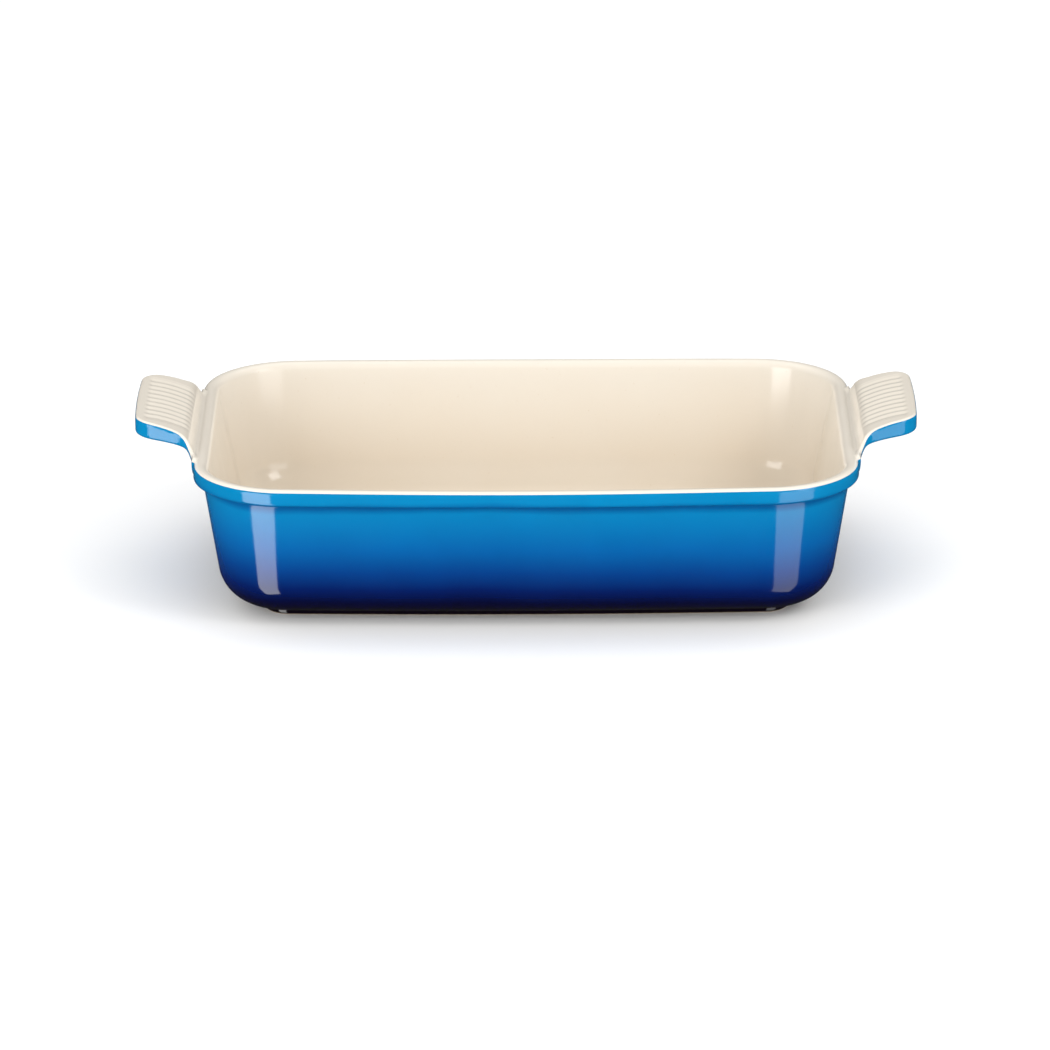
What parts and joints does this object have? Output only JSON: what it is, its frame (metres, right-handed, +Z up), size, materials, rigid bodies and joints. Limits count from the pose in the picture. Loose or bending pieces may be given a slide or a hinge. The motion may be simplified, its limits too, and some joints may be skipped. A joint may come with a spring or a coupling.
{
  "type": "rectangular baking dish",
  "caption": "Shallow rectangular stoneware oven dish with drafted walls, a collared rim, a foot ring and a wave-shaped ribbed handle at each short end.",
  "frame": {"origin": "centre of the plan, on the table under the foot ring", "axes": "+X towards the right handle, +Y towards the far long side, +Z up out of the basin"},
  "size_m": [0.33, 0.188, 0.0762],
  "materials": {
    "stoneware": "matte",
    "cream_glaze": "gloss",
    "blue_glaze": "gloss"
  },
  "bodies": {
    "root": {"stoneware_body": "stoneware", "left_handle": "stoneware", "right_handle": "stoneware", "cream_inside_glaze": "cream_glaze", "left_handle_cream_glaze": "cream_glaze", "right_handle_cream_glaze": "cream_glaze", "blue_outside_glaze": "blue_glaze", "left_handle_blue_glaze": "blue_glaze", "right_handle_blue_glaze": "blue_glaze", "underside_glaze": "blue_glaze"}
  },
  "joints": []
}
